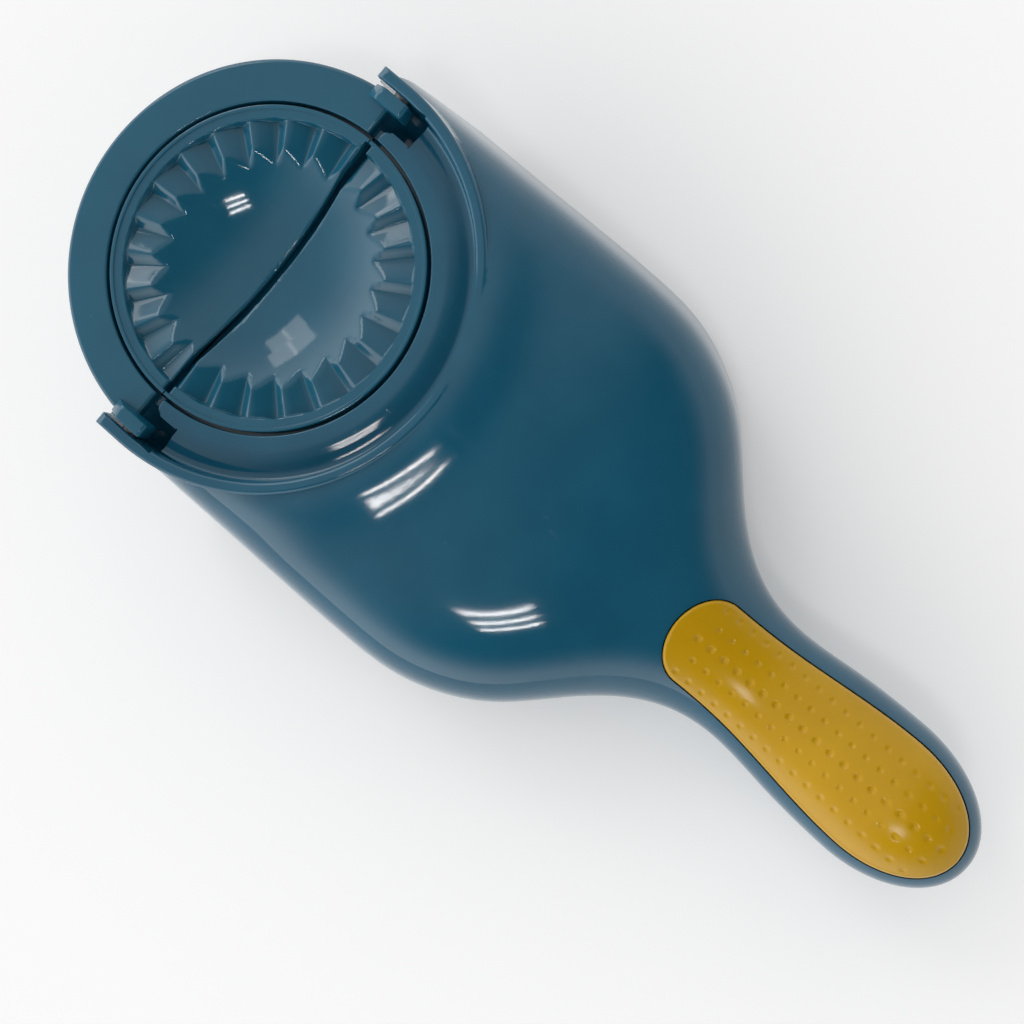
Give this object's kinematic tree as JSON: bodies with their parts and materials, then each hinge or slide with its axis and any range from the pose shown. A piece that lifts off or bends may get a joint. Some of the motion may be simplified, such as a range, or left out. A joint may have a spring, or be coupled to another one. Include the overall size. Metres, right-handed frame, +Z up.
{
  "type": "dumpling press",
  "caption": "Hand-held dumpling press: a hinged half ring with a toothed half dish folds onto a fixed half dish in a wide hollow body with a padded handle.",
  "frame": {"origin": "centre of the flat round press face under the body, which stands on the table", "axes": "+X along the handle away from the mould, +Y along the hinge, +Z up out of the mould dish"},
  "size_m": [0.2435, 0.1126, 0.0444],
  "materials": {
    "body_plastic": "glossy",
    "mould_plastic": "glossy",
    "grip_rubber": "satin",
    "screw_steel": "satin",
    "pin_steel": "satin"
  },
  "bodies": {
    "body": {"upper_shell": "body_plastic", "lower_shell": "body_plastic", "rear_mould_cup": "mould_plastic", "rear_cup_screws": "screw_steel", "grip_pad": "grip_rubber", "body_screws": "screw_steel", "handle_screws": "screw_steel"},
    "flap": {"flap_ring": "body_plastic", "front_mould_cup": "mould_plastic", "front_cup_screws": "screw_steel", "hinge_pin_left": "pin_steel", "hinge_pin_right": "pin_steel"}
  },
  "joints": [
    {"name": "flap_fold", "type": "hinge", "parent": "body", "child": "flap", "pos_m": [-0.052, 0, 0.0405], "axis": [0, 1, 0], "range_deg": [0, 180]}
  ]
}
